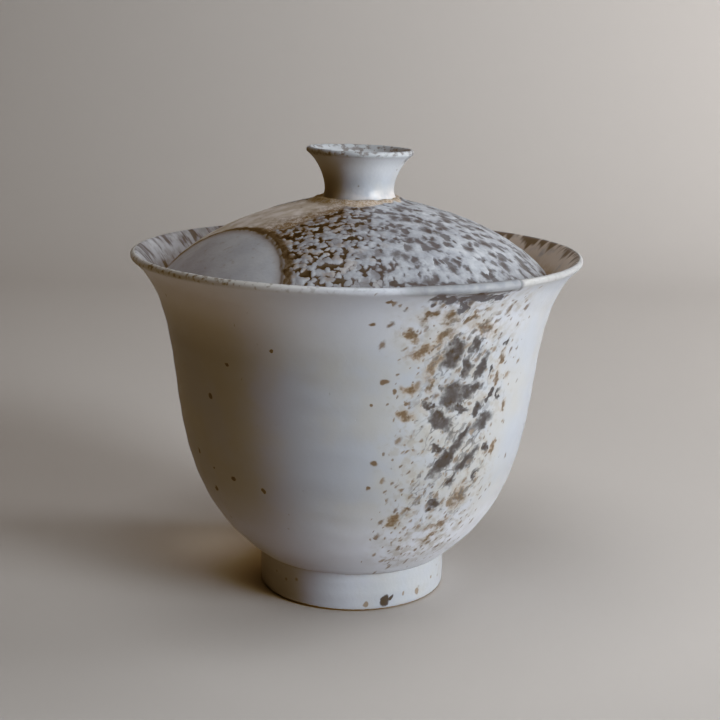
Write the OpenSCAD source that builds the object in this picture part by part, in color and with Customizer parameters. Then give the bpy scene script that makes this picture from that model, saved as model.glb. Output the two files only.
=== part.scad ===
// Gaiwan: a lidded tea bowl with a flared lip, a turned foot ring and a trumpet-shaped lid knob.
// Millimetres, +Z up. The origin is the centre of the foot ring on the table.

/* [Bowl] */

// Diameter over the rolled lip
rim_d = 90; // [87:0.5:94]
// Height of the top of the lip above the table
rim_h = 70; // [68:0.5:73]
// Thickness of the rolled lip
lip_t = 1.5; // [1.2:0.1:2]
// Angle of the wall above the horizontal where it meets the lip
lip_lean = 41; // [37:1:50]
// Outer radius of the body at its steepest
waist_r = 36.4; // [35.5:0.1:37]
// Height at which the body is steepest
waist_h = 44; // [42:0.5:46]
// Angle of the wall above the horizontal at that height
waist_lean = 83.5; // [80:0.5:87]
// Wall thickness at that height
wall_t = 2.3; // [1.9:0.1:2.8]
// Angle of the body above the horizontal where it leaves the foot
belly_lean = 38.5; // [35:0.5:42]
// Thickness of the floor above the foot
floor_t = 2.9; // [2.4:0.1:4]

/* [Foot ring] */

// Outer diameter of the foot ring
foot_d = 38.2; // [36:0.2:39]
// Height of the foot ring
foot_h = 8.3; // [7:0.1:9.5]
// Width of the ring at the table
foot_t = 3.4; // [2.8:0.1:4.5]
// How far the body overhangs the foot ring at the crease
crease_step = 0.9; // [0.6:0.1:1.4]
// Rounding of the two edges that meet the table
foot_round = 0.8; // [0.5:0.1:1.2]

/* [Lid] */

// Depth of the middle of the lid's edge below the top of the lip
seat_depth = 5.9; // [5:0.1:7]
// Clearance between the lid's edge and the bowl's wall
seat_gap = 0.15; // [0.1:0.05:0.4]
// Thickness of the lid, which is also the diameter of its rounded edge
lid_t = 2.2; // [1.8:0.1:2.6]
// Height of the flat that carries the knob above the middle of the edge
dome_rise = 16.1; // [14:0.1:18]
// Radius of the flat that carries the knob
seat_r = 7.8; // [7.6:0.1:8.6]
// Fall of the dome below the horizontal beside the knob
crown_fall = 13; // [8:1:18]
// Fall of the dome below the horizontal at the edge
edge_fall = 52; // [46:1:58]

/* [Lid knob] */

// Diameter over the knob's lip
knob_d = 21.2; // [19.5:0.1:23]
// Height of the knob above the lid
knob_h = 10; // [8.5:0.1:11]
// Radius of the knob where it is joined to the lid
knob_root_r = 7.6; // [7:0.1:7.6]
// Thickness of the knob's lip
knob_lip_t = 1.2; // [0.9:0.1:1.5]
// Radius of the knob's hollow at the bottom
hollow_r = 4.7; // [4:0.1:5]

/* [Hidden] */

$fn = 128;
steps = 16; // straight pieces in each curve

UP = 90;
IN = 180;
DOWN = 270;

lip_r = lip_t / 2;
lip_c = [rim_d / 2 - lip_r, rim_h - lip_r];
foot_r = foot_d / 2;
crease = [foot_r + crease_step, foot_h];
waist_out = [waist_r, waist_h];
waist_in = [waist_r - wall_t, waist_h];
floor_c = [0, foot_h + floor_t];
recess_draft = 0.8; // the recess in the foot narrows by this much towards its top

edge_r = lid_t / 2;
seat_h = rim_h - seat_depth;
top_h = seat_h + dome_rise;
crown_ratio = 1.2; // the middle of the lid is thicker than its edge, to carry the knob
crown_t = crown_ratio * lid_t;

knob_lip_r = knob_lip_t / 2;
knob_lip_c = [knob_d / 2 - knob_lip_r, top_h + knob_h - knob_lip_r];
knob_root_lean = 135; // the neck leans inwards as it leaves the lid
knob_flare = 36; // angle of the knob's underside above the horizontal at its lip

// How far each curve holds its direction at its start and at its end.
belly_pull = [13.8, 17.7]; // outside, crease to waist
flare_pull = [12.2, 7.2]; // outside, waist to lip
throat_pull = [6.6, 11.8]; // inside, lip to waist
basin_pull = [21, 25]; // inside, waist to floor
dome_pull = [10.6, 11.6]; // top of the lid, knob to edge
vault_pull = [12, 20]; // underside of the lid, edge to middle
neck_pull = [2.6, 3]; // outside of the knob, lid to lip
well_pull = [3.6, 3.4]; // inside of the knob, lip to bottom

// Unit vector at an angle above the +X axis.
function ray(a) = [cos(a), sin(a)];

// Points on a smooth curve that leaves p in direction a and reaches q in direction b.
function curve(p, a, q, b, pull) = let (p1 = p + pull[0] * ray(a), q1 = q - pull[1] * ray(b))
    [for (i = [0:steps]) let (t = i / steps, u = 1 - t)
        u * u * u * p + 3 * u * u * t * p1 + 3 * u * t * t * q1 + t * t * t * q];

// Points on an arc about c, from angle a to angle b.
function arc(c, r, a, b) = [for (i = [0:steps]) c + r * ray(a + (b - a) * i / steps)];

// A path without its last point, which the next path repeats.
function open_end(path) = [for (i = [0:len(path) - 2]) path[i]];

// A path moved sideways to its left by d.
function shifted(path, d) = [for (i = [0:len(path) - 1])
    let (v = path[min(i + 1, len(path) - 1)] - path[max(i - 1, 0)])
        path[i] + d * [-v.y, v.x] / norm(v)];

// The outside runs from the crease to the lip, the inside from the lip to the floor.
outside = concat(
    open_end(curve(crease, belly_lean, waist_out, waist_lean, belly_pull)),
    curve(waist_out, waist_lean, lip_c + lip_r * ray(lip_lean - UP), lip_lean, flare_pull));
inside_top = curve(lip_c + lip_r * ray(lip_lean + UP), lip_lean + IN,
    waist_in, waist_lean + IN, throat_pull);
inside_low = curve(waist_in, waist_lean + IN, floor_c, IN, basin_pull);

// The middle of the lid's rounded edge lies where that edge just clears the inside wall.
edge_path = shifted(inside_top, -edge_r - seat_gap);
edge_radii = [for (i = [steps:-1:0]) [edge_path[i].y, edge_path[i].x]];
edge_c = [lookup(seat_h, edge_radii), seat_h];

// Thrown body: a closed floor and one wall that swells, straightens and flares to the lip.
module bowl() {
    color([0.77, 0.77, 0.76])
        rotate_extrude()
            polygon(concat(
                [[0, foot_h]],
                open_end(outside),
                open_end(arc(lip_c, lip_r, lip_lean - UP, lip_lean + UP)),
                open_end(inside_top),
                inside_low));
}

// Ring joined under the body, turned to leave a recess.
module foot_ring() {
    recess_r = foot_r - foot_t;
    color([0.80, 0.79, 0.78])
        rotate_extrude()
            polygon(concat(
                [[foot_r, foot_h]],
                arc([foot_r - foot_round, foot_round], foot_round, 0, -UP),
                arc([recess_r + foot_round, foot_round], foot_round, DOWN, IN),
                [[recess_r - recess_draft, foot_h]]));
}

// Domed lid with a rounded edge, dropped into the flare of the lip.
module lid() {
    normal = UP - edge_fall;
    color([0.66, 0.65, 0.64])
        rotate_extrude()
            polygon(concat(
                [[0, top_h]],
                open_end(curve([seat_r, top_h], -crown_fall,
                    edge_c + edge_r * ray(normal), -edge_fall, dome_pull)),
                open_end(arc(edge_c, edge_r, normal, normal - IN)),
                curve(edge_c - edge_r * ray(normal), IN - edge_fall,
                    [0, top_h - crown_t], IN, vault_pull)));
}

// Hollow knob, open at the top like a small inverted foot, joined to the flat of the lid.
module lid_knob() {
    color([0.78, 0.78, 0.77])
        rotate_extrude()
            polygon(concat(
                open_end(curve([knob_root_r, top_h], knob_root_lean,
                    knob_lip_c + knob_lip_r * ray(knob_flare - UP), knob_flare, neck_pull)),
                open_end(arc(knob_lip_c, knob_lip_r, knob_flare - UP, knob_flare + UP)),
                curve(knob_lip_c + knob_lip_r * ray(knob_flare + UP), knob_flare + IN,
                    [hollow_r, top_h], DOWN, well_pull)));
}

bowl();
foot_ring();
lid();
lid_knob();
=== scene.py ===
# Gaiwan: detailed glazed pieces turned from the outlines of the CAD solids, on a plain stage.
import bpy
import math
import numpy as np
from mathutils import Matrix, Vector


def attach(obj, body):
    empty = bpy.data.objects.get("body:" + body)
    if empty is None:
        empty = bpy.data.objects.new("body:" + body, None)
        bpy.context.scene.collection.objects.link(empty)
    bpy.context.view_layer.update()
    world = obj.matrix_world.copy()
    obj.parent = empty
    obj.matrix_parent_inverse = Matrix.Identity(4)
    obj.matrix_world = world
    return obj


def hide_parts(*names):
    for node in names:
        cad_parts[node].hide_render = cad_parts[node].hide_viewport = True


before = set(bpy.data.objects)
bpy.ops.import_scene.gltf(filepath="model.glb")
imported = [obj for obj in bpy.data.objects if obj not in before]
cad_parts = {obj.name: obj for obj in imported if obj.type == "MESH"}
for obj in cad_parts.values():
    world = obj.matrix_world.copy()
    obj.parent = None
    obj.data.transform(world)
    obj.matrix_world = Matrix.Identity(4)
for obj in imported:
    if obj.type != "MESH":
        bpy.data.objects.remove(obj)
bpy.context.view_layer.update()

MM = 0.001

# Everything below is in mm and degrees unless it says otherwise.
MERGE = 0.05  # outline points closer than this count as one
FINE_STEPS = 12  # straight pieces between two outline points, before they are respaced
BEND = 14  # a bend this large earns one more point
CORNER = 30  # a bend this large is a corner
ON_AXIS = 1e-3  # a point closer than this lies on the axis
MOST_HALVINGS = 5  # how often rings may lose half their points on the way to the axis


def extent(node):
    """The widest radius of a CAD node and the height of its top."""
    points = [v.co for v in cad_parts[node].data.vertices]
    widest = max(math.hypot(p.x, p.y) for p in points)
    return round(widest / MM, 1), round(max(p.z for p in points) / MM, 1)


RIM_R, RIM_H = extent("bowl")
LID_R, LID_TOP = extent("lid")
FOOT_H = extent("foot_ring")[1]
KNOB_TOP = extent("lid_knob")[1]
NECK_H = KNOB_TOP - 6.7  # height of the narrowest part of the knob
KNOB_OFF = 0.24  # from the lid's axis to the knob's
LIP_LEAN = 0.023  # fall of the knob's lip for each mm to the right
LEAN_FROM = KNOB_TOP - 8.2  # height at which that lean sets in
LEAN_OVER = 6  # height over which it grows


# ---------------------------------------------------------------- outlines and turned meshes

def outline(node):
    """The (radius, height) points of a turned CAD node, in order along its section."""
    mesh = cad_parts[node].data
    ring = [(round(math.hypot(v.co.x, v.co.y), 6), round(v.co.z, 6)) for v in mesh.vertices]
    near = {}
    for edge in mesh.edges:
        a, b = (ring[i] for i in edge.vertices)
        if a != b:
            near.setdefault(a, set()).add(b)
            near.setdefault(b, set()).add(a)
    ends = [p for p in near if len(near[p]) == 1]
    start = max(ends or near)
    path = [start]
    while True:
        ahead = [p for p in sorted(near[path[-1]], reverse=True) if p not in path]
        if not ahead:
            break
        path.append(ahead[0])
    path = np.array(path) / MM
    apart = np.hypot(*np.diff(path, axis=0).T) > MERGE
    return path[np.concatenate([[True], apart])]


def bends(path):
    """How far the path turns at each inner point, in degrees."""
    step = np.diff(path, axis=0)
    heading = np.unwrap(np.arctan2(step[:, 1], step[:, 0]))
    return np.degrees(np.abs(np.diff(heading)))


def smooth_run(path, gap):
    """A smooth curve through a run of points, about gap mm apart and closer where it bends."""
    if len(path) == 2:
        count = max(2, int(np.hypot(*(path[1] - path[0])) / gap) + 1)
        return path[0] + (path[1] - path[0]) * np.linspace(0, 1, count)[:, None]
    before, after = 2 * path[0] - path[1], 2 * path[-1] - path[-2]
    p = np.vstack([before, path, after])
    fine = []
    for a, b, c, d in zip(p[:-3], p[1:-2], p[2:-1], p[3:]):
        t = np.linspace(0, 1, FINE_STEPS, endpoint=False)[:, None]
        near, here, far = (max(np.hypot(*v), 1e-6) for v in (b - a, c - b, d - c))
        m0 = here * ((c - b) / here * near + (b - a) / near * here) / (near + here)
        m1 = here * ((d - c) / far * here + (c - b) / here * far) / (here + far)
        fine.append((2 * t**3 - 3 * t**2 + 1) * b + (t**3 - 2 * t**2 + t) * m0
                    + (3 * t**2 - 2 * t**3) * c + (t**3 - t**2) * m1)
    fine = np.vstack(fine + [path[-1:]])
    length = np.hypot(*np.diff(fine, axis=0).T)
    turn = np.concatenate([[0], bends(fine)]) / BEND
    count_at = np.concatenate([[0], np.cumsum(length / gap + turn)])
    wanted = np.linspace(0, count_at[-1], max(3, int(round(count_at[-1])) + 1))
    return np.column_stack([np.interp(wanted, count_at, fine[:, i]) for i in (0, 1)])


def section(node, gap):
    """The outline of a node as smooth runs between its corners, from axis to axis or closed."""
    path = outline(node)
    closed = min(path[:, 0]) > ON_AXIS
    if closed:
        path = np.vstack([path, path[:1]])
    sharp = [i + 1 for i, turn in enumerate(bends(path)) if turn > CORNER]
    stops = [0] + sharp + [len(path) - 1]
    runs = [smooth_run(path[a:b + 1], gap) for a, b in zip(stops, stops[1:])]
    points = np.vstack([run[:-1] for run in runs] + ([] if closed else [runs[-1][-1:]]))
    if not closed:
        flat = points[0]
        inward = np.linspace(0, flat[0], max(3, int(flat[0] / (2 * gap))))[:-1]
        points = np.vstack([np.column_stack([inward, np.full(len(inward), flat[1])]), points])
    return points, closed


def turned(name, node, gap, around):
    """A mesh turned from a node's outline. The rings hold fewer points towards the axis."""
    points, closed = section(node, gap)
    widest = points[:, 0].max()
    verts, rings = [], []
    for r, z in points:
        if r < ON_AXIS:
            rings.append([len(verts)])
            verts.append((0, 0, z))
            continue
        halvings = min(int(math.log2(max(widest / r, 1)) + 0.2), MOST_HALVINGS)
        count = around >> halvings
        angle = np.arange(count) * (2 * math.pi / count)
        rings.append(list(range(len(verts), len(verts) + count)))
        verts.extend(zip(r * np.cos(angle), r * np.sin(angle), np.full(count, z)))
    faces = []
    pairs = list(zip(rings, rings[1:])) + ([(rings[-1], rings[0])] if closed else [])
    for a, b in pairs:
        faces.extend(band(a, b))
    mesh = bpy.data.meshes.new(name)
    mesh.from_pydata([tuple(c * MM for c in v) for v in verts], [], faces)
    mesh.validate()
    mesh.update()
    volume = sum(v0.cross(v1).dot(v2) for v0, v1, v2 in corners(mesh))
    if volume < 0:
        mesh.flip_normals()
    mesh.shade_smooth()
    obj = bpy.data.objects.new(name, mesh)
    bpy.context.scene.collection.objects.link(obj)
    return obj


def corners(mesh):
    """Three corners of each face, enough to tell which way a closed mesh faces."""
    for face in mesh.polygons:
        yield [mesh.vertices[i].co for i in face.vertices[:3]]


def band(a, b):
    """Faces between two rings, where one may be a point or hold half as many points."""
    if len(a) == 1:
        return [(a[0], b[i], b[(i + 1) % len(b)]) for i in range(len(b))]
    if len(b) == 1:
        return [(a[i], b[0], a[(i + 1) % len(a)]) for i in range(len(a))]
    if len(a) == len(b):
        n = len(a)
        return [(a[i], b[i], b[(i + 1) % n], a[(i + 1) % n]) for i in range(n)]
    if len(a) > len(b):
        return [face[::-1] for face in band(b, a)]
    n = len(a)
    faces = []
    for i in range(n):
        j, k = 2 * i, (i + 1) % n
        ahead = (j + 2) % len(b)
        faces += [(a[i], b[j], b[j + 1]), (a[i], b[j + 1], a[k]), (a[k], b[j + 1], b[ahead])]
    return faces


def keep_lining(obj, turn_back):
    """Stores how far each point is past the edge where a wall turns back: 0 outside, 1 inside."""
    mesh = obj.data
    co = np.array([v.co for v in mesh.vertices]) / MM
    normal = np.array([v.normal for v in mesh.vertices])
    layer = mesh.attributes.new("lining", "FLOAT", "POINT")
    layer.data.foreach_set("value", np.clip(turn_back(co, normal), 0, 1).astype(np.float32))


def set_askew(obj):
    """Leans the knob's lip a little and moves the knob off the lid's axis, as it was thrown."""
    for v in obj.data.vertices:
        rise = min(max((v.co.z / MM - LEAN_FROM) / LEAN_OVER, 0), 1)
        v.co.z -= rise * LIP_LEAN * v.co.x
        v.co.x += KNOB_OFF * MM


def facing_in(co, normal):
    """1 where the surface faces the axis, 0 where it faces away from it."""
    r = np.maximum(np.hypot(co[:, 0], co[:, 1]), 0.01)
    outward = (normal[:, 0] * co[:, 0] + normal[:, 1] * co[:, 1]) / r
    return 0.5 - 1.2 * outward


def facing_down(co, normal):
    """1 on an underside, 0 on top."""
    return 0.5 - 2 * normal[:, 2]


# ---------------------------------------------------------------- node arithmetic

class Wire:
    """A value in a node tree. Working with it adds nodes."""

    def __init__(self, net, socket):
        self.net = net
        self.socket = socket

    def __add__(self, other):
        return self.net.math("ADD", self, other)

    def __sub__(self, other):
        return self.net.math("SUBTRACT", self, other)

    def __rsub__(self, other):
        return self.net.math("SUBTRACT", other, self)

    def __mul__(self, other):
        return self.net.math("MULTIPLY", self, other)

    def __truediv__(self, other):
        return self.net.math("DIVIDE", self, other)


class Net:
    """Adds nodes to a tree. The same calls build a material or a geometry tree."""

    def __init__(self, tree):
        self.tree = tree

    def add(self, kind, **settings):
        node = self.tree.nodes.new(kind)
        for key, value in settings.items():
            setattr(node, key, value)
        return node

    def feed(self, socket, value):
        if isinstance(value, Wire):
            self.tree.links.new(value.socket, socket)
        elif isinstance(value, (tuple, list)) and socket.type == "RGBA":
            socket.default_value = (*value, 1)
        else:
            socket.default_value = value

    def math(self, operation, *values):
        node = self.add("ShaderNodeMath", operation=operation)
        for socket, value in zip(node.inputs, values):
            self.feed(socket, value)
        return Wire(self, node.outputs[0])

    def vector_math(self, operation, *values, output=0, scale=None):
        node = self.add("ShaderNodeVectorMath", operation=operation)
        for socket, value in zip(node.inputs, values):
            self.feed(socket, value)
        if scale is not None:
            self.feed(node.inputs["Scale"], scale)
        return Wire(self, node.outputs[output])

    def vector(self, x, y, z):
        node = self.add("ShaderNodeCombineXYZ")
        for socket, value in zip(node.inputs, (x, y, z)):
            self.feed(socket, value)
        return Wire(self, node.outputs[0])

    def split(self, vector):
        node = self.add("ShaderNodeSeparateXYZ")
        self.feed(node.inputs[0], vector)
        return [Wire(self, socket) for socket in node.outputs]

    def ramp(self, value, low, high):
        """Rises smoothly from 0 at low to 1 at high. Low may be the larger of the two."""
        node = self.add("ShaderNodeMapRange", interpolation_type="SMOOTHSTEP")
        for socket, v in zip(node.inputs, (value, low, high)):
            self.feed(socket, v)
        return Wire(self, node.outputs[0])

    def noise(self, where, size, detail=2.0, rough=0.5):
        """Soft noise about 0.5, with features about size mm across."""
        node = self.add("ShaderNodeTexNoise")
        self.feed(node.inputs["Vector"], where)
        node.inputs["Scale"].default_value = 1 / size
        node.inputs["Detail"].default_value = detail
        node.inputs["Roughness"].default_value = rough
        return Wire(self, node.outputs[0])

    def noise_vector(self, where, size, detail=2.0):
        """A soft random vector about zero, for pushing other patterns out of line."""
        node = self.add("ShaderNodeTexNoise")
        self.feed(node.inputs["Vector"], where)
        node.inputs["Scale"].default_value = 1 / size
        node.inputs["Detail"].default_value = detail
        return self.vector_math("SUBTRACT", Wire(self, node.outputs[1]), (0.5, 0.5, 0.5))

    def cells(self, where, size, flat=False):
        """Distance from the nearest of many scattered points, in cells of size mm, and three
        random values that each point has. The points fill space, or a plane if flat."""
        node = self.add("ShaderNodeTexVoronoi", voronoi_dimensions="2D" if flat else "3D")
        self.feed(node.inputs["Vector"], where)
        node.inputs["Scale"].default_value = 1 / size
        return Wire(self, node.outputs[0]), self.split(Wire(self, node.outputs[1]))

    def mix(self, amount, a, b):
        """Colour a where amount is 0 and colour b where it is 1."""
        node = self.add("ShaderNodeMix", data_type="RGBA")
        for socket, value in zip((node.inputs[0], node.inputs[6], node.inputs[7]), (amount, a, b)):
            self.feed(socket, value)
        return Wire(self, node.outputs[2])

    def most(self, *values):
        total = values[0]
        for value in values[1:]:
            total = self.math("MAXIMUM", total, value)
        return total


class Place:
    """Where a point of a turned piece is: its mm from the origin, its degrees round from the
    front, and which side of the wall it is on."""

    def __init__(self, net, metres, lining):
        self.p = net.vector_math("SCALE", metres, scale=1 / MM)
        self.x, self.y, self.z = net.split(self.p)
        self.r = net.math("SQRT", self.x * self.x + self.y * self.y)
        self.angle = net.math("ARCTAN2", self.x, self.y * -1) * math.degrees(1)
        self.outside = net.ramp(lining, 0.6, 0.4)
        self.inside = net.ramp(lining, 0.4, 0.6)
        self.top_view = net.vector(self.x, self.y, 0.0)


def displaced(obj, relief):
    """Moves each point of a piece along its normal by relief(net, place) mm, for good."""
    tree = bpy.data.node_groups.new(obj.name + "_relief", "GeometryNodeTree")
    for way in ("INPUT", "OUTPUT"):
        tree.interface.new_socket("Geometry", in_out=way, socket_type="NodeSocketGeometry")
    net = Net(tree)
    source = net.add("NodeGroupInput")
    sink = net.add("NodeGroupOutput")
    position = Wire(net, net.add("GeometryNodeInputPosition").outputs[0])
    normal = Wire(net, net.add("GeometryNodeInputNormal").outputs[0])
    named = net.add("GeometryNodeInputNamedAttribute", data_type="FLOAT")
    named.inputs["Name"].default_value = "lining"
    place = Place(net, position, Wire(net, named.outputs[0]))
    move = net.add("GeometryNodeSetPosition")
    tree.links.new(source.outputs[0], move.inputs["Geometry"])
    net.feed(move.inputs["Offset"], net.vector_math("SCALE", normal, scale=relief(net, place) * MM))
    tree.links.new(move.outputs[0], sink.inputs[0])
    obj.modifiers.new("relief", "NODES").node_group = tree
    graph = bpy.context.evaluated_depsgraph_get()
    made = bpy.data.meshes.new_from_object(obj.evaluated_get(graph))
    obj.modifiers.clear()
    obj.data = made
    obj.data.shade_smooth()


def glaze(name, look):
    """A glazed ceramic material. look(net, place) gives its colour, roughness and fine relief."""
    material = bpy.data.materials.new(name)
    material.use_nodes = True
    tree = material.node_tree
    net = Net(tree)
    shader = tree.nodes["Principled BSDF"]
    where = Wire(net, net.add("ShaderNodeTexCoord").outputs["Object"])
    side = Wire(net, net.add("ShaderNodeAttribute", attribute_name="lining").outputs["Fac"])
    colour, rough, bumps = look(net, Place(net, where, side))
    net.feed(shader.inputs["Base Color"], colour)
    net.feed(shader.inputs["Roughness"], rough)
    bump = net.add("ShaderNodeBump")
    bump.inputs["Strength"].default_value = 1
    bump.inputs["Distance"].default_value = MM
    net.feed(bump.inputs["Height"], bumps)
    tree.links.new(bump.outputs[0], shader.inputs["Normal"])
    return material


def srgb(r, g, b):
    """A colour given in 0 to 255 screen values, as the linear values that shaders take."""
    shares = (c / 255 for c in (r, g, b))
    return tuple(c / 12.92 if c < 0.04 else ((c + 0.055) / 1.055) ** 2.4 for c in shares)


# ---------------------------------------------------------------- glaze patterns
#
# Angles are in degrees round from the front, to the right.

# Greys and whites of the ash glaze.
ICE = srgb(172, 175, 181)
PALE = srgb(175, 176, 178)
IVORY = srgb(175, 172, 166)
CREAM = srgb(175, 173, 169)
# Painted shade round the raised lumps of the lid's curdled white.
CURD_EDGE_SHADE = srgb(146, 149, 156)
SNOW = srgb(165, 167, 172)
# Iron marks.
OCHRE = srgb(144, 130, 115)
OLIVE = srgb(124, 115, 105)
RUST = srgb(110, 95, 83)
UMBER = srgb(100, 90, 82)
ASH = srgb(116, 116, 117)
SLATE = srgb(84, 85, 88)
IRON = srgb(72, 67, 63)
# Bare and sandy clay.
BEIGE = srgb(216, 208, 203)
CLAY = srgb(158, 140, 121)
# The bowl outside. The flare and belly colours hold painted light: they are lighter than the glaze,
# as if lit from below.
FLARE_LEFT_PAINTED_LIGHT = srgb(216, 208, 200)
FLARE_RIGHT_PAINTED_LIGHT = srgb(190, 192, 198)
BELLY_PAINTED_LIGHT = srgb(205, 206, 212)
BAND_HAZE = srgb(160, 153, 145)
OCHRE_HAZE = srgb(170, 155, 138)
SMEAR = srgb(104, 106, 111)
# The lip.
ROLL_LIGHT = srgb(151, 152, 155)
ROLL_DARK = srgb(141, 143, 147)
# Painted light on the left of the lip.
LIP_LEFT_PAINTED_LIGHT = srgb(194, 192, 189)
LIP_RIGHT = srgb(164, 162, 159)
# The bowl inside.
LINING_LEFT = srgb(172, 173, 178)
LINING_DIM = srgb(136, 134, 136)
# A warm grey glaze, made lighter than the glaze as painted light.
LINING_RIGHT_AND_PAINTED_LIGHT = srgb(212, 200, 191)
STAIN = srgb(166, 142, 120)
DRIP_LEFT = srgb(94, 93, 97)
DRIP_RIGHT = srgb(120, 117, 118)
# The foot ring: painted light on its left and front.
FOOT_PAINTED_LIGHT = srgb(192, 194, 200)
# The lid's curdled white.
CURD = srgb(176, 178, 182)
CURD_GREY = srgb(140, 141, 146)
CURD_TAN = srgb(172, 160, 150)
SHADE_LEFT = srgb(112, 103, 97)
SHADE_RIGHT = srgb(124, 124, 129)
DARK_LEFT = srgb(42, 36, 34)
DARK_RIGHT = srgb(86, 85, 88)
DARK_WORN = srgb(108, 104, 105)
# The lid's sandy zone.
BUFF = srgb(194, 184, 174)
COLLAR = srgb(176, 165, 154)
SPRAY = srgb(112, 96, 82)
SAND = srgb(150, 130, 106)
SCORCH = srgb(106, 88, 72)
# The lid's smooth disc and its edge.
DISC_DULL = srgb(176, 178, 183)
DISC_CLEAR = srgb(186, 187, 190)
DISC_SMUT = srgb(140, 130, 122)
DISC_EDGE = srgb(140, 128, 118)
EDGE_BROWN = srgb(72, 66, 64)
EDGE_TAN = srgb(104, 97, 92)
# The knob.
KNOB_LIT = srgb(194, 195, 198)
KNOB_LIP = srgb(172, 174, 177)
KNOB_SHADE = srgb(128, 116, 100)
STREAK_DARK = srgb(106, 100, 97)
STREAK_LIGHT = srgb(142, 139, 138)
# The stage.
PAPER = srgb(193, 189, 186)

BAND_ANGLE = 30  # middle of the speckled band
ARC = 0.64  # mm round the bowl's wall for each degree
SPOT_JOIN = 0.3  # how far neighbouring marks run together
GRAIN_LEAN = 52  # lean of the small marks in the band, from level
BEHIND = (150, 178)  # where colours that keep to one side fade out again
CORE_REACH = (23, 64)  # heights between which the band is dense
BAND_REACH = (10, 69)  # and those between which there is any of it
LIP_FROM = RIM_H - 1.8  # height at which the lip's own marks set in
ROLL_END = 40.2  # angle at which the thick part of the lip stops

# Marks in the speckled band: degrees round, mm up, mm long, mm wide, degrees of lean from level.
SLATE_BLOTS = [
    (27, 56.5, 5.6, 3.6, 75), (32.5, 54, 4.2, 2.0, 95), (37.5, 53, 5.6, 2.0, 65),
    (34, 57.5, 3.4, 1.8, 80), (29, 48.5, 5.4, 5.2, 10), (35, 49, 5.4, 2.0, 14),
    (26, 43.5, 5.6, 3.0, -26), (41.5, 42, 5.6, 3.2, 20), (32, 45.5, 3.4, 1.2, -40),
    (38, 44.5, 2.8, 2.0, 35), (29.5, 36, 10.5, 2.6, 43), (37, 34.5, 6.6, 2.4, 47),
    (34.5, 39.5, 4.6, 1.8, 50), (31.5, 31, 3.2, 1.6, 66), (27.5, 26.3, 3.0, 2.4, 25),
    (42.5, 31, 3.0, 1.2, 62), (43, 47.5, 2.0, 1.0, 60), (42, 52, 2.2, 1.0, 70),
    (47, 47, 3.0, 1.0, 70), (22, 46.8, 3.0, 0.9, -20), (44.5, 36.5, 2.6, 1.4, 60),
    (47, 57.5, 2.2, 1.2, 60), (25.5, 38, 3.0, 1.2, -30),
]
LIP_BLOTS = [
    (20.5, 67.6, 5.0, 2.0, 0), (29, 67.4, 6.6, 2.2, 3), (33.5, 66.8, 5.0, 1.2, 12),
    (26, 66.0, 3.4, 1.1, 105),
]
OCHRE_BLOTS = [
    (35.5, 61, 4.2, 2.4, -15), (24, 64, 3.2, 2.2, 10), (23.5, 60, 4.2, 2.6, 38),
    (18, 64.3, 2.8, 1.3, 35), (13.7, 60.5, 2.8, 1.8, -30), (17.5, 57, 4.8, 1.6, 18),
    (22, 54.5, 4.4, 1.8, 62), (21.3, 51, 3.0, 1.1, 88), (15.6, 49.8, 2.4, 1.8, 10),
    (14.2, 45, 3.2, 1.7, 5), (37.3, 27, 4.2, 3.6, 15), (13.5, 23.5, 2.4, 2.0, 12),
    (44.5, 50, 3.0, 1.3, 74), (50.3, 44, 2.6, 1.3, 55), (45.7, 54, 2.6, 1.3, 80),
    (48.2, 36, 2.4, 1.6, 35), (33, 21.5, 4.4, 1.4, 24), (30, 18.2, 3.0, 1.4, 40),
    (17.6, 25.7, 2.6, 1.2, -20), (31, 63.6, 3.6, 0.9, 42),
]
# Single dots away from the band.
LONE_IRON = [
    (-48, 45.3, 1.3, 1.2, 0), (-42, 29.3, 1.2, 1.0, 20), (-55, 25.4, 1.5, 1.0, 40),
    (-30, 28.3, 1.0, 0.9, 0), (-61, 32.3, 1.0, 0.9, 0), (-38.5, 52.7, 0.8, 0.7, 0),
    (-23, 56.7, 0.7, 0.7, 0), (-52, 30, 0.8, 0.6, 0),
]
LONE_OCHRE = [
    (5.8, 36, 1.3, 1.3, 0), (4.7, 31, 1.1, 1.0, 0), (8, 51.8, 1.3, 1.0, 30),
    (11, 49.8, 1.0, 0.9, 0), (5, 47.4, 0.8, 0.8, 0), (7.5, 67.2, 1.3, 0.7, 10),
    (4, 62.8, 1.2, 1.0, 0), (14.6, 47.4, 0.9, 0.9, 0),
]
# Dots on the foot ring.
FOOT_SMEARS = [(20.5, 1.9, 3.8, 2.6, 8), (24.5, 2.4, 2.4, 1.0, 20)]
FOOT_TANS = [
    (9, 1.4, 2.2, 1.3, 10), (44, 2.2, 2.2, 1.7, 10), (58, 4, 1.2, 0.9, 0), (33, 2.8, 1.0, 1.0, 0),
]


def on_right(net, at, low, high):
    """0 to the left of an angle and 1 to the right of another, fading out behind."""
    return net.ramp(at.angle, low, high) * net.ramp(at.angle, BEHIND[1], BEHIND[0])


def on_left(net, at, low, high):
    """1 to the left of an angle and 0 to the right of another, fading out behind."""
    return net.ramp(at.angle, high, low) * net.ramp(at.angle, -BEHIND[1], -BEHIND[0])


def between(net, value, low, high, soft):
    """1 where a value lies between two limits, with soft edges."""
    return net.ramp(value, low - soft, low + soft) * net.ramp(value, high + soft, high - soft)


def flat_wall(net, at, push):
    """The bowl's wall laid flat: mm round from the middle of the band, mm up, and 1, with noise."""
    flat = net.vector((at.angle - BAND_ANGLE) * ARC, at.z, 1.0)
    sway = net.noise_vector(at.p, 1.9, 2)
    return net.vector_math("ADD", flat, net.vector_math("MULTIPLY", sway, (push, push, 0.0)))


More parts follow.
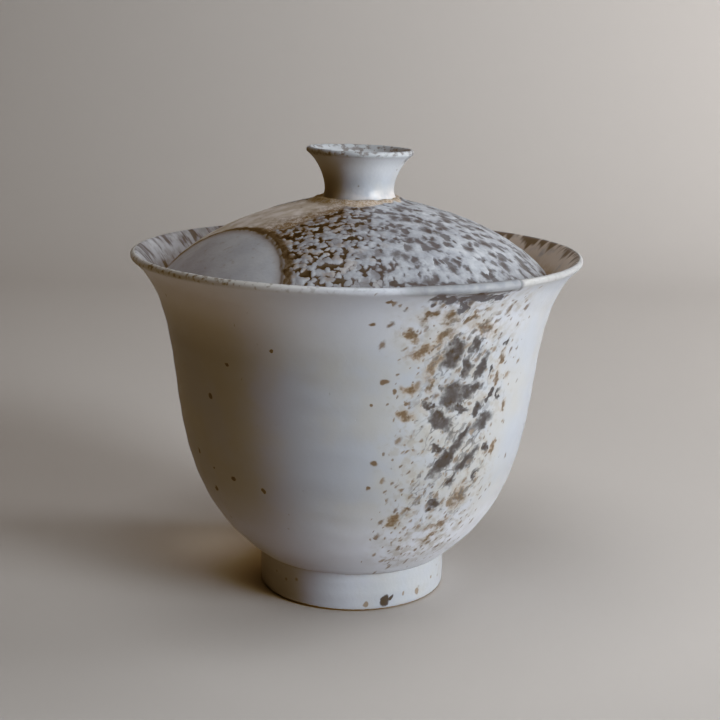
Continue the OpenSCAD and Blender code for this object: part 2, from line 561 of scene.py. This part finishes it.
def blots(net, flat, ovals):
    """Nearness to the closest of some ovals on the flattened wall: 0 at a centre, 1 on an edge."""
    total = None
    for angle, height, length, width, lean in ovals:
        c, s = math.cos(math.radians(lean)), math.sin(math.radians(lean))
        u = (angle - BAND_ANGLE) * ARC
        along = [2 * v / length for v in (c, s, -c * u - s * height)]
        across = [2 * v / width for v in (-s, c, s * u - c * height)]
        a = net.vector_math("DOT_PRODUCT", flat, along, output=1)
        b = net.vector_math("DOT_PRODUCT", flat, across, output=1)
        reach = net.math("MULTIPLY_ADD", a, a, b * b)
        total = reach if total is None else net.math("SMOOTH_MIN", total, reach, SPOT_JOIN)
    return total


def specks(net, where, size, share, largest, ragged=0.0, flat=False):
    """Scattered spots: mm between them, the share of places that hold one, mm across the largest
    and how ragged they are. Gives their mask and a random value for each."""
    distance, random = net.cells(where, size, flat)
    width = (random[1] * 0.65 + 0.35) * (largest / 2 / size)
    reach = distance / width
    if ragged:
        reach = reach + (net.noise(where, size * 0.22, 2) - 0.5) * ragged
    shown = net.math("LESS_THAN", random[0], share)
    return net.ramp(reach, 1.3, 0.3) * shown, random[2]


class BowlMarks:
    """Where the kiln marked the bowl. The same masks give its colours and its relief."""

    def __init__(self, net, at):
        flat = flat_wall(net, at, 4.2)
        calm = flat_wall(net, at, 1.4)
        self.add_blots(net, at, flat)
        self.add_band(net, at, calm)
        self.add_single_dots(net, at, calm)
        self.add_lip(net, at)
        self.add_drips(net, at)

    def add_blots(self, net, at, flat):
        """The large slate and ochre marks of the band."""
        fine = net.noise(at.p, 0.55, 2) - 0.5
        smear = blots(net, flat, LIP_BLOTS)
        slate = net.math("MINIMUM", blots(net, flat, SLATE_BLOTS), smear)
        ragged = fine * 0.7 + (net.noise(at.p, 1.6, 2) - 0.5) * 1.4
        self.slate = net.ramp(slate + ragged, 1.70, 0.45) * at.outside
        self.slate_core = net.ramp(slate + ragged, 1.05, 0.0) * at.outside
        self.smear = net.ramp(smear + ragged, 2.0, 0.9)
        ochre = blots(net, flat, OCHRE_BLOTS)
        grainy = fine * 1.7 + (net.noise(at.p, 1.5, 2) - 0.5) * 1.4
        self.ochre = net.ramp(ochre + grainy, 1.8, -0.1) * at.outside
        self.ochre_core = net.ramp(ochre + grainy, 0.8, -0.2) * at.outside
        self.ochre_halo = net.ramp(ochre + grainy * 0.6, 3.2, 0.6) * at.outside

    def add_band(self, net, at, calm):
        """The chips, flecks, threads and dots among them, which all lean one way."""
        sway = net.noise(at.p, 12, 1) * 14
        middle = net.math("ABSOLUTE", at.angle + sway - 38)
        core = net.ramp(middle, 17, 8) * between(net, at.z, *CORE_REACH, 6) * at.outside
        self.band = net.ramp(middle, 30, 12) * between(net, at.z, *BAND_REACH, 5) * at.outside
        turn = net.add("ShaderNodeVectorRotate", rotation_type="Z_AXIS")
        net.feed(turn.inputs["Vector"], net.vector_math("MULTIPLY", calm, (1.0, 1.0, 0.0)))
        turn.inputs["Angle"].default_value = math.radians(-GRAIN_LEAN)
        leaning = Wire(net, turn.outputs[0])

        grain = net.vector_math("MULTIPLY", leaning, (0.6, 1.0, 1.0))
        chip = net.noise(grain, 1.3, 2, 0.5)
        self.chips = net.ramp(chip - (1 - core) * 0.15, 0.56, 0.68) * at.outside
        rust = net.noise(net.vector_math("ADD", grain, (17.0, 5.0, 0.0)), 1.3, 2, 0.5)
        self.flecks = net.ramp(rust - (1 - self.band) * 0.20, 0.58, 0.72) * at.outside
        vein = net.math("ABSOLUTE", net.noise(grain, 2.4, 2, 0.5) - 0.5)
        patchy = net.noise(net.vector_math("ADD", grain, (40.0, 3.0, 0.0)), 3.4, 1)
        self.threads = net.ramp(vein, 0.05, 0.012) * net.ramp(patchy, 0.46, 0.56) * core

        slant = net.vector_math("MULTIPLY", leaning, (0.62, 1.0, 1.0))
        share = self.band * self.band * 0.32 + self.band * 0.22
        dots, self.dot_kind = specks(net, slant, 2.1, share, 1.25, 0.9, flat=True)
        tiny, _ = specks(net, slant, 1.2, share * 0.8, 0.7, 0.5, flat=True)
        self.dots = net.most(dots, tiny * 0.9) * at.outside

    def add_single_dots(self, net, at, calm):
        """The dots that stand alone: placed in front, scattered behind."""
        behind = net.ramp(net.math("ABSOLUTE", at.angle), 66, 74)
        lone, _ = specks(net, at.p, 8, behind * 0.4, 1.7, 0.5)
        pin, _ = specks(net, at.p, 3.4, 0.035, 0.55)
        iron = blots(net, calm, LONE_IRON)
        self.lone = net.most(lone, pin * 0.6, net.ramp(iron, 1.3, 0.5) * at.outside)
        ochre = blots(net, calm, LONE_OCHRE)
        self.lone_ochre = net.ramp(ochre, 1.6, 0.3) * at.outside

    def add_lip(self, net, at):
        """The lip, the thick part of its glaze, the line round that part, and pits."""
        self.lip = net.ramp(at.z, RIM_H - 1.7, RIM_H - 1.1)
        self.roll = net.ramp(at.angle, 8, 15) * net.ramp(at.angle, ROLL_END + 0.5, ROLL_END)
        self.roll = self.roll * self.lip
        end = between(net, at.angle, ROLL_END, ROLL_END + 1.1, 0.5)
        end = end * net.ramp(at.z, LIP_FROM - 0.5, LIP_FROM)
        below = between(net, at.z, RIM_H - 1.95, RIM_H - 1.5, 0.2)
        below = below * between(net, at.angle, 24, 40, 3)
        self.rim_line = net.most(end, below) * at.outside
        pits, _ = specks(net, at.p, 2.3, 0.36, 1.0)
        self.pits = pits * net.ramp(at.z, LIP_FROM, LIP_FROM + 0.7) * (1 - self.roll)

    def add_drips(self, net, at):
        """Two patterns of one size all round the rim, drawn out downwards."""
        round_x = at.x / at.r * RIM_R
        round_y = at.y / at.r * RIM_R
        self.fur = net.noise(net.vector(round_x, round_y, at.z * 0.28), 1.9, 1, 0.5)
        self.blotch = net.noise(net.vector(round_x, round_y, at.z * 0.5), 2.1, 3, 0.55)
        self.depth = RIM_H - at.z


def inner_drips(net, marks, right):
    """Dark glaze inside the rim, 0 to 1: short pointed drips on the right, blotches elsewhere."""
    drips = net.ramp(marks.fur - marks.depth * 0.14, 0.29, 0.48)
    blotches = net.ramp(marks.blotch - marks.depth * 0.004, 0.45, 0.62)
    blotches = blotches * net.ramp(marks.depth, 14, 8)
    return drips * right + blotches * (1 - right)


def wall_colour(net, at, marks, cloud):
    """The clean glaze, creamy in the band. The flare is painted lighter, and warmer on the left, as
    painted light from below over the glaze's creamier tone near the rim. The belly is painted
    lighter and a little cooler, as painted light from the floor.
    """
    haze = net.noise(at.p, 15, 3)
    base = net.mix(net.ramp(haze, 0.3, 0.7), ICE, PALE)
    base = net.mix(net.ramp(haze + cloud * 0.4, 0.62, 0.9) * 0.3, base, IVORY)
    # Painted light: the flare under the rim is made lighter, most on the left and less on the right
    # where the lamps reach it.
    flare = net.mix(on_left(net, at, -45, 0), FLARE_RIGHT_PAINTED_LIGHT, FLARE_LEFT_PAINTED_LIGHT)
    lit = 0.8 - on_right(net, at, 35, 70) * 0.6
    base = net.mix(net.ramp(at.z, RIM_H - 17, RIM_H - 6) * at.outside * lit, base, flare)
    # Painted light: the lower belly is made lighter and a little cooler, as if lit from the floor.
    base = net.mix(net.ramp(at.z, 30, 14) * at.outside * 0.8, base, BELLY_PAINTED_LIGHT)
    return net.mix(marks.band * net.ramp(cloud, 0.35, 0.65) * 0.5, base, CREAM)


def ochre_marks(net, at, marks, base):
    """Paints the ochre and rust marks of the band over a colour."""
    halo = net.ramp(net.noise(at.p, 1.6, 3) + marks.band * 0.2, 0.66, 0.84) * marks.band
    base = net.mix(halo * 0.4, base, BAND_HAZE)
    tint = net.ramp(net.noise(at.p, 5.5, 2), 0.42, 0.6)
    ochre = net.mix(tint, OCHRE, OLIVE)
    base = net.mix(marks.flecks * 0.6, base, ochre)
    core = net.ramp(net.noise(at.p, 1.1, 2), 0.5, 0.68) * 0.7
    base = net.mix(marks.ochre_halo * 0.3, base, OCHRE_HAZE)
    base = net.mix(marks.ochre * 0.85, base, net.mix(core, ochre, RUST))
    base = net.mix(marks.ochre_core * 0.6, base, RUST)
    return net.mix(marks.dots * 0.76, base, net.mix(marks.dot_kind, OCHRE, RUST))


def slate_marks(net, at, marks, base):
    """Paints the slate marks of the band and the single dots over a colour."""
    deep = net.mix(marks.slate_core, ASH, SLATE)
    worn = net.ramp(net.noise(at.p, 1.7, 3), 0.5, 0.7)
    deep = net.mix(worn * marks.slate_core * 0.8, deep, IRON)
    deep = net.mix(marks.smear, deep, SMEAR)
    base = net.mix(marks.chips * 0.7, base, deep)
    base = net.mix(marks.threads * 0.62, base, ASH)
    base = net.mix(marks.slate * 0.95, base, deep)
    base = net.mix(marks.lone_ochre * 0.7, base, OCHRE)
    base = net.mix(marks.lone_ochre * marks.lone_ochre * 0.6, base, RUST)
    return net.mix(marks.lone * 0.85, base, UMBER)


def lip_marks(net, at, marks, left, base):
    """Paints the lip over a colour."""
    roll_tone = net.mix(net.ramp(net.noise(at.p, 2.0, 2), 0.4, 0.65), ROLL_LIGHT, ROLL_DARK)
    base = net.mix(marks.roll, base, roll_tone)
    base = net.mix(marks.rim_line * 0.7, base, SLATE)
    flaws, _ = specks(net, at.p, 1.3, 0.35, 0.6, 0.6)
    flaws = flaws * marks.roll * net.ramp(at.z, RIM_H - 0.4, RIM_H - 1.2)
    base = net.mix(flaws * 0.7, base, SLATE)
    # Painted light: the lip on the left is made lighter, as if catching light from above and
    # behind.
    base = net.mix(left * marks.lip * 0.9, base, LIP_LEFT_PAINTED_LIGHT)
    beige = on_right(net, at, ROLL_END + 0.2, ROLL_END + 1.2) * marks.lip
    base = net.mix(beige * 0.6, base, LIP_RIGHT)
    grime = net.ramp(net.noise(at.p, 0.9, 3), 0.50, 0.66)
    grime = grime * net.ramp(at.z, RIM_H - 1.6, RIM_H - 0.7)
    base = net.mix(grime * (left * 0.5 + 0.1) * (1 - marks.roll), base, UMBER)
    return net.mix(marks.pits * 0.8, base, IRON)


def lining_colour(net, at, marks, left, cloud, base):
    """The glaze inside the bowl, from the colour that the outside would have there."""
    right = on_right(net, at, 20, 75)
    lining = net.mix(left * 0.8, base, LINING_LEFT)
    dim = net.ramp(net.noise(at.p, 2.2, 3), 0.42, 0.62) * (1 - right)
    lining = net.mix(dim * 0.4, lining, LINING_DIM)
    # Painted light: the inside on the right is made lighter, over its warm grey glaze.
    lining = net.mix(right * net.ramp(cloud, 0.1, 0.5), lining, LINING_RIGHT_AND_PAINTED_LIGHT)
    stain = net.ramp(net.noise(at.p, 2.6, 3), 0.46, 0.62)
    stain = stain * between(net, marks.depth, 4.2, 11, 1.5) * right
    lining = net.mix(stain * 0.35, lining, STAIN)
    tone = net.mix(right, DRIP_LEFT, DRIP_RIGHT)
    return net.mix(inner_drips(net, marks, right) * 0.85, lining, tone)


def bowl_colour(net, at):
    marks = BowlMarks(net, at)
    cloud = net.noise(at.p, 3.2, 3)
    left = on_left(net, at, -35, 6)
    base = wall_colour(net, at, marks, cloud)
    base = ochre_marks(net, at, marks, base)
    base = slate_marks(net, at, marks, base)
    base = lip_marks(net, at, marks, left, base)
    base = net.mix(at.inside, base, lining_colour(net, at, marks, left, cloud, base))

    rough = net.noise(at.p, 4, 2) * 0.16 + 0.32
    rough = rough + marks.slate * 0.08 + marks.ochre * 0.12 + marks.roll * 0.18
    skin = net.noise(at.p, 0.8, 2) * 0.016 + net.noise(at.p, 3.5, 1) * 0.03
    holes, _ = specks(net, at.p, 1.9, 0.2, 0.3)
    return base, rough, skin - holes * 0.02 - marks.dots * 0.02


def bowl_relief(net, at):
    marks = BowlMarks(net, at)
    turning = net.math("SINE", at.z * 1.15 + net.noise(at.p, 16, 1) * 7) * 0.035
    sway = net.noise(at.p, 24, 1) * 0.24 - 0.12
    curd = (net.noise(at.p, 2.4, 2) - 0.5) * 0.22 * marks.band
    sunk = net.most(marks.slate, marks.chips * 0.8, marks.flecks * 0.5, marks.ochre * 0.5) * 0.13
    roll = marks.roll * at.outside * 0.22
    edge = marks.rim_line * 0.06
    drips = inner_drips(net, marks, on_right(net, at, 20, 75))
    outer = turning + curd - sunk + roll + edge - marks.lone * 0.06
    inner = net.noise(at.p, 6, 2) * 0.1 - 0.05 - drips * 0.05
    return (outer * at.outside + inner * at.inside + sway * net.ramp(at.z, 0, 20)
            - marks.pits * 0.10)


def foot_colour(net, at):
    haze = net.noise(at.p, 9, 3)
    base = net.mix(net.ramp(haze, 0.35, 0.65), ICE, PALE)
    flat = flat_wall(net, at, 1.6)
    low = net.ramp(net.noise(at.p, 4, 2), 0.5, 0.7) * 0.35
    base = net.mix(low, base, IVORY)
    # Painted light: the foot ring is made lighter on its left and front.
    base = net.mix(on_left(net, at, -5, 20) * 0.8, base, FOOT_PAINTED_LIGHT)
    smear = blots(net, flat, FOOT_SMEARS)
    fine = net.noise(at.p, 0.6, 2) - 0.5
    tan = blots(net, flat, FOOT_TANS)
    base = net.mix(net.ramp(tan + fine, 1.3, 0.5) * 0.8, base, OCHRE)
    dark = net.mix(net.noise(at.p, 1.5), IRON, SLATE)
    base = net.mix(net.ramp(smear + fine, 1.3, 0.6) * 0.92, base, dark)
    dots, kind = specks(net, at.p, 2.2, 0.17, 0.9)
    base = net.mix(dots * 0.7, base, net.mix(kind, OCHRE, RUST))
    crease = net.ramp(at.z, FOOT_H - 1.1, FOOT_H + 0.1) * at.outside
    base = net.mix(crease * net.ramp(net.noise(at.p, 1.2, 3), 0.4, 0.7) * 0.4, base, CLAY)
    bare = net.ramp(at.z + fine * 0.5, 0.55, 0.25)
    base = net.mix(bare, base, CLAY)
    base = net.mix(at.inside * net.ramp(net.noise(at.p, 2.5, 3), 0.4, 0.65) * 0.5, base, IVORY)
    rough = net.noise(at.p, 4, 2) * 0.16 + 0.30 + bare * 0.35
    skin = net.noise(at.p, 0.8, 2) * 0.035 + bare * net.noise(at.p, 0.3, 2) * 0.08
    return base, rough, skin


def foot_relief(net, at):
    turning = net.math("SINE", at.z * 2.3) * 0.02
    sway = net.noise(at.p, 12, 1) * 0.16 - 0.08
    return (turning + sway) * net.ramp(at.z, 0.2, 1.6)


# The lid's smooth disc is what lies beyond a plane, as if the lid had been dipped at a slant.
DIP_NORMAL = (-0.616, -0.443, 0.651)
DIP_DISTANCE = 67.4


class LidMarks:
    """Where the lid's glazes meet. The same masks give its colours and its relief."""

    def __init__(self, net, at):
        self.rightward = on_right(net, at, -32, 30)
        self.coarse = on_right(net, at, -12, 42)
        self.add_disc(net, at)
        self.add_zones(net, at)
        self.add_curds(net, at)

    def add_disc(self, net, at):
        """The smooth disc and the brown edge beside it."""
        ripple = (net.noise(at.p, 2.2, 2) - 0.5) * 0.5
        slant = net.vector_math("DOT_PRODUCT", at.p, DIP_NORMAL, output=1)
        self.dip = slant - DIP_DISTANCE + ripple
        self.patch = net.ramp(self.dip, -0.12, 0.12) * at.outside
        wide = net.ramp(at.angle, -78, -50) * 0.45 + 0.22 + (net.noise(at.p, 1.6, 2) - 0.5) * 0.6
        self.halo = net.ramp(self.dip + wide, -0.3, 0.2) * (1 - self.patch) * at.outside

    def add_zones(self, net, at):
        """The bare sandy zone, its scorched side, and the collar of sand round the knob."""
        sway = (net.noise(at.p, 4, 3) - 0.5) * 22
        edge = at.angle + (at.r - 11) * 2.2 - 28 + sway
        snow = net.most(net.ramp(edge, -50, -34), net.ramp(edge, -108, -136))
        lumps = (net.noise(at.p, 3, 2) - 0.5) * 3.2 + on_right(net, at, 10, 80) * 1.4
        self.collar = net.ramp(at.r + lumps, 11.0, 9.2)
        self.bare = net.most(1 - snow, self.collar) * (1 - self.patch)
        beyond = 1 - self.collar
        self.fringe = net.ramp(edge, -80, -42) * beyond
        self.scorch = net.ramp(edge, 0, -40) * net.ramp(edge, -74, -48) * beyond

    def add_curds(self, net, at):
        """The curdled white, fine on the left and coarse on the right, and what shows between."""
        push = net.vector_math("SCALE", net.noise_vector(at.p, 1.8, 2), scale=1.8)
        pushed = net.vector_math("ADD", at.top_view, push)
        small, _ = net.cells(pushed, 1.15, flat=True)
        large, _ = net.cells(pushed, 2.1, flat=True)
        lump = small * (1 - self.coarse) + large * self.coarse
        self.puff = net.ramp(lump, 0.65, 0.1)
        gloom = (net.noise(at.p, 2.5, 2) - 0.5) * (self.coarse * 1.1 + 1.5)
        murk = lump * (1.15 - self.coarse * 0.45) + gloom + self.coarse * 0.1
        few = net.ramp(self.bare, 0.85, 0.25) * (1 - self.patch)
        soft = net.vector_math("ADD", at.top_view, net.vector_math("SCALE", push, scale=1.4))
        gaps = net.ramp(murk, 0.57, 0.80) * (1 - self.rightward * 0.3)
        dabs, _ = specks(net, soft, 2.7, 0.85, 2.7, 0.7, flat=True)
        self.dark = net.most(gaps, dabs * (self.coarse * 0.8 + 0.15)) * few
        rings, _ = specks(net, soft, 2.7, 0.85, 4.2, 1.0, flat=True)
        self.shade = net.most(net.ramp(murk, 0.42, 0.70), rings * self.rightward) * few


def curd_colour(net, at, marks, cloud):
    """The curdled white, greyed round the edges of its raised lumps as painted shade."""
    white = net.mix(net.ramp(cloud, 0.35, 0.65), SNOW, CURD)
    # Painted shade: the white is greyed towards the edges of the raised lumps.
    white = net.mix(net.ramp(marks.puff, 0.8, 0.1) * (0.55 - marks.rightward * 0.3), white, CURD_EDGE_SHADE)
    mottle = net.ramp(net.noise(at.p, 1.0, 3, 0.6), 0.46, 0.66)
    white = net.mix(mottle * 0.4, white, CURD_GREY)
    tan = net.ramp(net.noise(at.p, 2.0, 2), 0.52, 0.62) * (1 - marks.rightward)
    return net.mix(tan * 0.6, white, CURD_TAN)


def sandy_colour(net, at, marks, cloud, grain):
    """The bare zone, its spray of dark grains and the sand round the knob."""
    buff = net.mix(net.ramp(cloud, 0.35, 0.65), BEIGE, BUFF)
    spray = marks.fringe * marks.fringe * (net.ramp(grain, 0.3, 0.7) * 0.8 + 0.2)
    buff = net.mix(marks.collar * 0.7, buff, COLLAR)
    buff = net.mix(spray * 0.85, buff, SPRAY)
    sand = marks.collar * net.ramp(net.noise(at.p, 0.45, 2, 0.6), 0.42, 0.6)
    return net.mix(sand * 0.6, buff, SAND)


def dark_marks(net, at, marks, base):
    """Paints what shows between the curds, the scorch and the rust over a colour."""
    soft = net.mix(marks.rightward, SHADE_LEFT, SHADE_RIGHT)
    base = net.mix(marks.shade * (0.45 - marks.rightward * 0.15), base, soft)
    murk = net.mix(marks.coarse, DARK_LEFT, DARK_RIGHT)
    murk = net.mix(net.ramp(net.noise(at.p, 2.4, 2), 0.4, 0.7) * 0.4, murk, DARK_WORN)
    base = net.mix(marks.dark * 0.95, base, murk)
    scorch = marks.scorch * net.ramp(net.noise(at.p, 1.1, 3), 0.4, 0.62) * (1 - marks.patch)
    base = net.mix(scorch * 0.5, base, SCORCH)
    rust, kind = specks(net, at.p, 1.6, 0.34, 0.8, 0.6)
    rust = rust * (net.ramp(marks.bare, 0.05, 0.5) * 0.6 + 0.2) * (1 - marks.patch)
    return net.mix(rust * 0.6, base, net.mix(kind, OCHRE, UMBER))


def disc_colour(net, at, marks):
    """The smooth disc, browner at its rim."""
    disc = net.mix(net.ramp(net.noise(at.p, 7, 3), 0.35, 0.65), DISC_DULL, DISC_CLEAR)
    disc = net.mix(net.ramp(net.noise(at.p, 1.3, 3), 0.58, 0.72) * 0.25, disc, DISC_SMUT)
    return net.mix(net.ramp(marks.dip, 0.8, 0.05) * 0.3, disc, DISC_EDGE)


def underside_colour(net, at, cloud):
    """The plain underside with a few dots."""
    under = net.mix(net.ramp(cloud, 0.35, 0.65), ICE, PALE)
    dots, _ = specks(net, at.p, 3.2, 0.12, 0.9)
    return net.mix(dots * 0.8, under, UMBER)


def lid_colour(net, at):
    marks = LidMarks(net, at)
    cloud = net.noise(at.p, 3.4, 3)
    grain = net.noise(at.p, 0.28, 1)
    white = curd_colour(net, at, marks, cloud)
    buff = sandy_colour(net, at, marks, cloud, grain)
    base = net.mix(net.ramp(marks.bare, 0.25, 0.8), white, buff)
    base = dark_marks(net, at, marks, base)
    brown = net.mix(net.ramp(grain, 0.3, 0.7), EDGE_BROWN, EDGE_TAN)
    base = net.mix(marks.halo * 0.92, base, brown)
    base = net.mix(marks.patch, base, disc_colour(net, at, marks))
    # The floor of the knob's hollow is the top of the lid.
    base = net.mix(net.ramp(at.r, 6.6, 5.6), base, PALE)
    base = net.mix(at.outside, underside_colour(net, at, cloud), base)

    rough = net.noise(at.p, 2.5, 2) * 0.18 + 0.32
    rough = rough + marks.bare * at.outside * 0.2 - marks.dark * 0.05
    skin = net.noise(at.p, 0.7, 2) * 0.03 + net.noise(at.p, 2.2, 2) * 0.04
    return base, rough, skin


def lid_relief(net, at):
    marks = LidMarks(net, at)
    curds = (marks.puff * 0.10 + (1 - marks.dark) * 0.09) * net.ramp(marks.bare, 0.9, 0.3)
    curds = curds * (1 - marks.patch)
    # A ridge of glaze where the knob meets the lid.
    ridge = net.ramp(at.r, 9.8, 8.0) * net.ramp(at.r, 5.5, 7.0)
    ridge = ridge * (net.noise(at.p, 1.6, 2) + 0.2) * 0.7
    step = marks.patch * -0.10 + between(net, marks.dip, -0.7, 0.0, 0.25) * 0.05
    lumps = (net.noise(at.p, 2.0, 2) - 0.5) * 0.16 * marks.bare
    sway = net.noise(at.p, 18, 1) * 0.14 - 0.07
    # The lid's edge keeps the shape it has in the CAD, so that it clears the bowl.
    keep = net.ramp(at.r, LID_R - 0.6, LID_R - 2)
    return (curds + step + lumps + ridge) * at.outside * keep + sway * keep


def knob_marks(net, at):
    """The dark streaks on the knob's lip, 0 to 1."""
    streak = net.noise(at.p, 1.2, 3, 0.6)
    rim = net.ramp(at.z, KNOB_TOP - 1.3, KNOB_TOP - 0.7)
    patch = between(net, at.angle, 68, 100, 6) * net.ramp(at.z, KNOB_TOP - 3, KNOB_TOP - 2.2)
    well = at.inside * net.ramp(at.z, KNOB_TOP - 3.7, KNOB_TOP - 1.7)
    streaks = net.ramp(streak, 0.48, 0.60) * net.most(rim, well)
    drip = net.ramp(net.noise(at.p, 1.4, 2), 0.42, 0.5) * patch
    return net.most(streaks, drip)


def knob_colour(net, at):
    marks = knob_marks(net, at)
    cloud = net.noise(at.p, 5, 3)
    base = net.mix(net.ramp(cloud, 0.35, 0.65), ICE, PALE)
    # Painted light: the knob is made lighter above its neck.
    base = net.mix(net.ramp(at.z, NECK_H, NECK_H + 3.5) * 0.8, base, KNOB_LIT)
    warm = net.ramp(at.z, NECK_H, NECK_H - 3) * net.ramp(net.noise(at.p, 2.5, 2), 0.3, 0.6)
    base = net.mix(warm * 0.4, base, BEIGE)
    base = net.mix(net.ramp(at.z, KNOB_TOP - 1.4, KNOB_TOP - 0.8), base, KNOB_LIP)
    shadow = on_left(net, at, -75, -25) * net.ramp(at.z, KNOB_TOP - 2.2, KNOB_TOP - 7.2)
    base = net.mix(shadow * 0.5, base, KNOB_SHADE)
    dots, kind = specks(net, at.p, 1.5, 0.10, 0.7)
    base = net.mix(dots * 0.8, base, net.mix(kind, OCHRE, IRON))
    base = net.mix(marks * 0.75, base, net.mix(net.noise(at.p, 1.0), STREAK_DARK, STREAK_LIGHT))
    rough = net.noise(at.p, 2.5, 2) * 0.16 + 0.34
    rough = rough + net.ramp(at.z, KNOB_TOP - 2.2, KNOB_TOP - 1.2) * 0.2
    return base, rough, net.noise(at.p, 0.7, 2) * 0.03


def knob_relief(net, at):
    marks = knob_marks(net, at)
    sway = net.noise(at.p, 7, 1) * 0.16 - 0.08
    return sway * net.ramp(at.z, LID_TOP - 0.7, LID_TOP + 2.8) - marks * 0.06


# ---------------------------------------------------------------- the four pieces

PIECES = [
    # name, CAD node, body, which way it turns back, mesh gap mm, points round, relief, look
    ("bowl_glazed", "bowl", "bowl", facing_in, 0.8, 480, bowl_relief, bowl_colour),
    ("foot_ring_glazed", "foot_ring", "bowl", facing_in, 0.35, 384, foot_relief, foot_colour),
    ("lid_glazed", "lid", "lid", facing_down, 0.5, 640, lid_relief, lid_colour),
    ("lid_knob_glazed", "lid_knob", "lid", facing_in, 0.25, 320, knob_relief, knob_colour),
]

for name, node, body, turn_back, gap, around, relief, look in PIECES:
    piece = turned(name, node, gap, around)
    keep_lining(piece, turn_back)
    if node == "lid_knob":
        set_askew(piece)
    displaced(piece, relief)
    piece.data.materials.append(glaze(name + "_glaze", look))
    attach(piece, body)
    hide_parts(node)


# ---------------------------------------------------------------- camera, stage and light

CAMERA_AT = (0, -0.26973, 0.11005)  # metres
PITCH = 0.2294  # these three in radians
YAW = 0.0037
ROLL = 0.0185
LENS = 67.5
SENSOR = 36


def camera():
    """The photograph's camera, as fitted to its outlines."""
    level = math.cos(PITCH)
    ahead = Vector((math.sin(YAW) * level, math.cos(YAW) * level, -math.sin(PITCH)))
    right = ahead.cross(Vector((0, 0, 1))).normalized()
    up = right.cross(ahead)
    tilt_right = math.cos(ROLL) * right + math.sin(ROLL) * up
    tilt_up = math.cos(ROLL) * up - math.sin(ROLL) * right
    data = bpy.data.cameras.new("camera")
    data.lens = LENS
    data.sensor_width = SENSOR
    obj = bpy.data.objects.new("camera", data)
    bpy.context.scene.collection.objects.link(obj)
    turn = Matrix((tilt_right, tilt_up, -ahead)).transposed()
    obj.matrix_world = Matrix.LocRotScale(Vector(CAMERA_AT), turn, None)
    bpy.context.scene.camera = obj


# The stage in metres: its floor, the sweep behind it and the wall above the sweep.
FLOOR_FRONT = -1.6
SWEEP_FROM = 0.35
SWEEP_R = 0.3
SWEEP_POINTS = 24
WALL_TOP = 1.6
HALF_WIDTH = 2.2


def stage():
    """A pale floor that sweeps up into a backdrop."""
    profile = [(FLOOR_FRONT, 0), (SWEEP_FROM, 0)]
    profile += [(SWEEP_FROM + SWEEP_R * math.sin(a), SWEEP_R - SWEEP_R * math.cos(a))
                for a in np.linspace(0, math.pi / 2, SWEEP_POINTS)[1:]]
    profile += [(SWEEP_FROM + SWEEP_R, WALL_TOP)]
    verts = [(x, y, z) for y, z in profile for x in (-HALF_WIDTH, HALF_WIDTH)]
    faces = [(2 * i, 2 * i + 1, 2 * i + 3, 2 * i + 2) for i in range(len(profile) - 1)]
    mesh = bpy.data.meshes.new("stage")
    mesh.from_pydata(verts, [], faces)
    mesh.shade_smooth()
    floor = bpy.data.objects.new("stage", mesh)
    bpy.context.scene.collection.objects.link(floor)
    material = bpy.data.materials.new("stage_paper")
    material.use_nodes = True
    shader = material.node_tree.nodes["Principled BSDF"]
    shader.inputs["Base Color"].default_value = (*PAPER, 1)
    shader.inputs["Roughness"].default_value = 0.9
    shader.inputs["Specular IOR Level"].default_value = 0.1
    mesh.materials.append(material)


TARGET = (0, 0, 0.045)  # the middle of the gaiwan, in metres
DAYLIGHT = (0.97, 0.99, 1.0)
ROOM = (1.0, 0.99, 0.98)
FLOOR_LIGHT = (1.0, 0.98, 0.96)
THROWN_BACK = (1.0, 0.84, 0.68)

LAMPS = [
    # name, metres wide and high, watts, colour, where it is, what it faces
    ("key", (0.20, 0.40), 4.6, DAYLIGHT, (0.50, -0.38, 0.22), TARGET),
    ("low_key", (0.26, 0.30), 1.0, DAYLIGHT, (0.42, -0.46, 0.10), TARGET),
    ("top", (0.60, 0.60), 3.3, ROOM, (-0.12, -0.18, 0.85), TARGET),
    ("wall", (0.30, 0.50), 3.8, ROOM, (0.60, 0.10, 0.50), (0.42, 0.65, 0.30)),
    ("floor", (0.40, 0.40), 0.5, FLOOR_LIGHT, (0.40, 0.20, 0.45), (0.30, 0.22, 0)),
    # The light that the table throws back into the shadow beside the foot ring.
    ("bounce", (0.018, 0.018), 0.00055, THROWN_BACK, (-0.0285, 0.017, 0.011),
     (-0.0284, 0.017, 0)),
]


def lamp(name, size, watts, colour, at, towards):
    """A soft rectangular light that the camera doesn't see."""
    data = bpy.data.lights.new(name, "AREA")
    data.shape = "RECTANGLE"
    data.size, data.size_y = size
    data.energy = watts
    data.color = colour
    obj = bpy.data.objects.new(name, data)
    bpy.context.scene.collection.objects.link(obj)
    obj.location = at
    obj.rotation_euler = (Vector(towards) - Vector(at)).to_track_quat("-Z", "Y").to_euler()
    obj.visible_camera = False


# The tone curves: brightnesses, and what each channel makes of them.
GAMMA = 0.66
DARKS = (0.05, 0.12, 0.20, 0.30)
RED = (0.060, 0.136, 0.212, 0.306)
GREEN = (0.040, 0.104, 0.188, 0.299)
BLUE = (0.016, 0.062, 0.168, 0.294)

# The little light that comes from all round.
AROUND = (0.30, 0.19, 0.10, 1)
AROUND_STRENGTH = 0.02


def grade():
    """Deepens the shadows and turns them a little brown, as in the photograph."""
    view = bpy.context.scene.view_settings
    view.view_transform = "Standard"
    view.gamma = GAMMA
    view.use_curve_mapping = True
    for curve, heights in zip(view.curve_mapping.curves, (RED, GREEN, BLUE)):
        for x, y in zip(DARKS, heights):
            curve.points.new(x, y)
    view.curve_mapping.update()


camera()
stage()
for settings in LAMPS:
    lamp(*settings)
grade()

world = bpy.data.worlds.new("world")
world.use_nodes = True
background = world.node_tree.nodes["Background"]
background.inputs["Color"].default_value = AROUND
background.inputs["Strength"].default_value = AROUND_STRENGTH
bpy.context.scene.world = world
